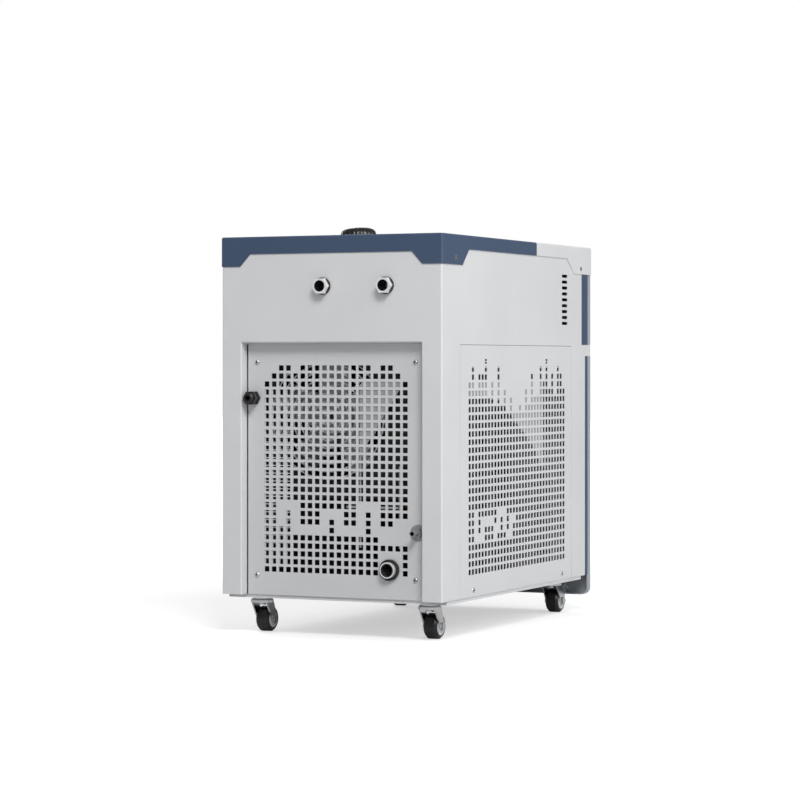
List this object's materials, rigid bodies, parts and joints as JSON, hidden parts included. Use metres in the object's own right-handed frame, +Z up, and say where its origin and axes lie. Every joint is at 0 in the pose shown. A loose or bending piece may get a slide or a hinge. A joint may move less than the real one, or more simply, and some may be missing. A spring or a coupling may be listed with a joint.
{
  "type": "recirculating chiller",
  "caption": "Floor-standing water chiller in a folded steel cabinet on swivel casters, with rear hose ports, perforated grilles, top filler cap and front control panel.",
  "frame": {"origin": "centre of the bounding box on the floor", "axes": "+Z up, front faces -Y, rear ports face +Y"},
  "size_m": [0.364, 0.6054, 0.6085],
  "materials": {
    "light_paint": "fine satin powder coat",
    "grey_paint": "fine satin powder coat",
    "blue_paint": "fine satin powder coat",
    "rim_grey": "fine moulded plastic",
    "zinc": "bright zinc",
    "stainless": "satin",
    "chrome": "polished",
    "black_plastic": "satin",
    "black_gloss": "gloss",
    "copper": "drawn copper",
    "aluminium": "fins",
    "rubber": "matte",
    "tread": "satin",
    "hub_grey": "satin",
    "pedal_grey": "satin",
    "display": "gloss",
    "key_grey": "satin",
    "hose": "translucent white"
  },
  "bodies": {
    "cabinet": {"base_pan": "zinc", "cabinet_wrap": "light_paint", "cable_gland": "black_plastic", "caster_stems": "chrome", "compressor": "black_gloss", "compressor_grommets": "rubber", "condenser": "aluminium", "control_board": "black_plastic", "display_window": "display", "drain_flange": "black_plastic", "drain_port": "chrome", "electrical_box": "zinc", "evaporator_tube": "copper", "fan_guard": "zinc", "fan_motor": "black_plastic", "fan_shroud": "zinc", "filler_neck": "black_plastic", "filter_drier": "copper", "front_band": "grey_paint", "front_top_cover": "grey_paint", "gland_dome_nut": "black_plastic", "inlet_port": "chrome", "left_side_panel": "light_paint", "lower_front_frame": "blue_paint", "lower_front_panel": "rim_grey", "outlet_port": "chrome", "overflow_barb": "chrome", "pump_head": "black_plastic", "pump_motor": "black_plastic", "rear_grille": "light_paint", "rear_top_cover": "blue_paint", "refrigerant_pipes": "copper", "reservoir": "stainless", "right_side_panel": "light_paint", "switch_housing": "black_plastic", "tank_shelf": "zinc", "upper_front_frame": "blue_paint", "upper_front_panel": "rim_grey", "water_hoses": "hose"},
    "filler_cap": {"filler_cap": "black_plastic", "cap_gasket": "rubber"},
    "fan_rotor": {"fan_rotor": "aluminium"},
    "panel_key_1": {"panel_key_1": "key_grey"},
    "panel_key_2": {"panel_key_2": "key_grey"},
    "panel_key_3": {"panel_key_3": "key_grey"},
    "power_rocker": {"power_rocker": "black_gloss"},
    "rear_right_caster": {"rear_right_caster_fork": "chrome"},
    "rear_right_wheel": {"rear_right_caster_tyre": "tread", "rear_right_caster_hub": "hub_grey"},
    "rear_left_caster": {"rear_left_caster_fork": "chrome"},
    "rear_left_wheel": {"rear_left_caster_tyre": "tread", "rear_left_caster_hub": "hub_grey"},
    "front_right_caster": {"front_right_caster_fork": "chrome"},
    "front_right_wheel": {"front_right_caster_tyre": "tread", "front_right_caster_hub": "hub_grey"},
    "front_right_brake": {"front_right_caster_brake": "pedal_grey"},
    "front_left_caster": {"front_left_caster_fork": "chrome"},
    "front_left_wheel": {"front_left_caster_tyre": "tread", "front_left_caster_hub": "hub_grey"},
    "front_left_brake": {"front_left_caster_brake": "pedal_grey"}
  },
  "joints": [
    {"name": "cap_lift", "type": "slide", "parent": "cabinet", "child": "filler_cap", "axis": [0, 0, 1], "range_m": [0, 0.06]},
    {"name": "fan_spin", "type": "hinge", "parent": "cabinet", "child": "fan_rotor", "pos_m": [0.016, 0.24235, 0.325], "axis": [0, 1, 0], "continuous": true},
    {"name": "key_1_press", "type": "slide", "parent": "cabinet", "child": "panel_key_1", "axis": [0, 1, 0], "range_m": [0, 0.001], "stiffness_N_per_m": 400},
    {"name": "key_2_press", "type": "slide", "parent": "cabinet", "child": "panel_key_2", "axis": [0, 1, 0], "range_m": [0, 0.001], "stiffness_N_per_m": 400},
    {"name": "key_3_press", "type": "slide", "parent": "cabinet", "child": "panel_key_3", "axis": [0, 1, 0], "range_m": [0, 0.001], "stiffness_N_per_m": 400},
    {"name": "power_rock", "type": "hinge", "parent": "cabinet", "child": "power_rocker", "pos_m": [0.12, -0.29595, 0.4685], "axis": [1, 0, 0], "range_deg": [0, 9]},
    {"name": "rear_right_swivel", "type": "hinge", "parent": "cabinet", "child": "rear_right_caster", "pos_m": [-0.139, 0.24175, 0.05], "axis": [0, 0, 1], "continuous": true},
    {"name": "rear_right_roll", "type": "hinge", "parent": "rear_right_caster", "child": "rear_right_wheel", "pos_m": [-0.139, 0.22575, 0.019], "axis": [1, 0, 0], "continuous": true},
    {"name": "rear_left_swivel", "type": "hinge", "parent": "cabinet", "child": "rear_left_caster", "pos_m": [0.139, 0.24175, 0.05], "axis": [0, 0, 1], "continuous": true},
    {"name": "rear_left_roll", "type": "hinge", "parent": "rear_left_caster", "child": "rear_left_wheel", "pos_m": [0.139, 0.22575, 0.019], "axis": [1, 0, 0], "continuous": true},
    {"name": "front_right_swivel", "type": "hinge", "parent": "cabinet", "child": "front_right_caster", "pos_m": [-0.139, -0.23225, 0.05], "axis": [0, 0, 1], "continuous": true},
    {"name": "front_right_roll", "type": "hinge", "parent": "front_right_caster", "child": "front_right_wheel", "pos_m": [-0.139, -0.24825, 0.019], "axis": [1, 0, 0], "continuous": true},
    {"name": "front_right_brake_press", "type": "hinge", "parent": "front_right_caster", "child": "front_right_brake", "pos_m": [-0.139, -0.25675, 0.0425], "axis": [1, 0, 0], "range_deg": [0, 12]},
    {"name": "front_left_swivel", "type": "hinge", "parent": "cabinet", "child": "front_left_caster", "pos_m": [0.139, -0.23225, 0.05], "axis": [0, 0, 1], "continuous": true},
    {"name": "front_left_roll", "type": "hinge", "parent": "front_left_caster", "child": "front_left_wheel", "pos_m": [0.139, -0.24825, 0.019], "axis": [1, 0, 0], "continuous": true},
    {"name": "front_left_brake_press", "type": "hinge", "parent": "front_left_caster", "child": "front_left_brake", "pos_m": [0.139, -0.25675, 0.0425], "axis": [1, 0, 0], "range_deg": [0, 12]}
  ]
}
